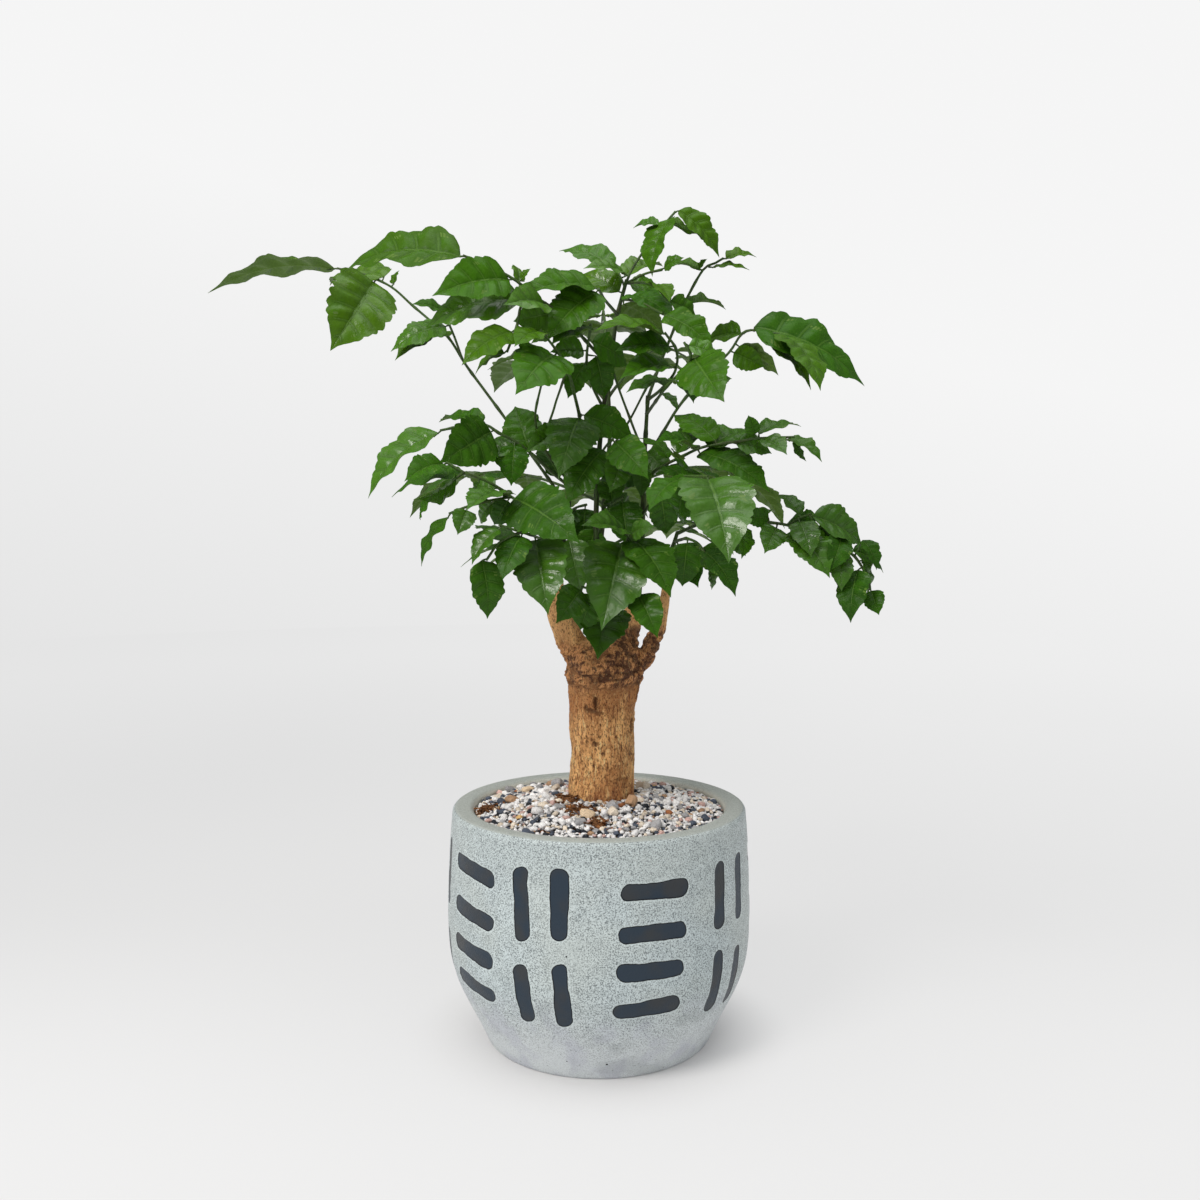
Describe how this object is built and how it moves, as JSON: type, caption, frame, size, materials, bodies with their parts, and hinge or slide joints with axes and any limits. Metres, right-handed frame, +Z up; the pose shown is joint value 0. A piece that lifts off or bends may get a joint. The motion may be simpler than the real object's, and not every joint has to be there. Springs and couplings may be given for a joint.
{
  "type": "potted china doll plant",
  "caption": "China doll plant with toothed compound leaves on a cut-back woody trunk, in a thick glazed clay pot with a dressing of pebbles.",
  "frame": {"origin": "centre of the pot's round base, on the plane that the pot stands on", "axes": "+Z up; +X to the right and -Y towards the viewer, as the plant was pictured"},
  "size_m": [0.5046, 0.4181, 0.6143],
  "materials": {
    "glaze": "satin crackled glaze on fired clay, with dark brush strokes",
    "soil": "damp and crumbly",
    "pebbles": "small mixed river pebbles, matte",
    "bark": "rough scarred bark",
    "foliage": "glossy green leaflets with lighter veins"
  },
  "bodies": {
    "root": {"pot": "glaze", "soil": "soil", "gravel": "pebbles", "trunk": "bark", "leafy_stem_left": "foliage", "leafy_stem_middle": "foliage", "leafy_stem_right": "foliage", "leafy_stem_low_right": "foliage", "leafy_stem_front": "foliage", "leafy_stem_back": "foliage"}
  },
  "joints": []
}
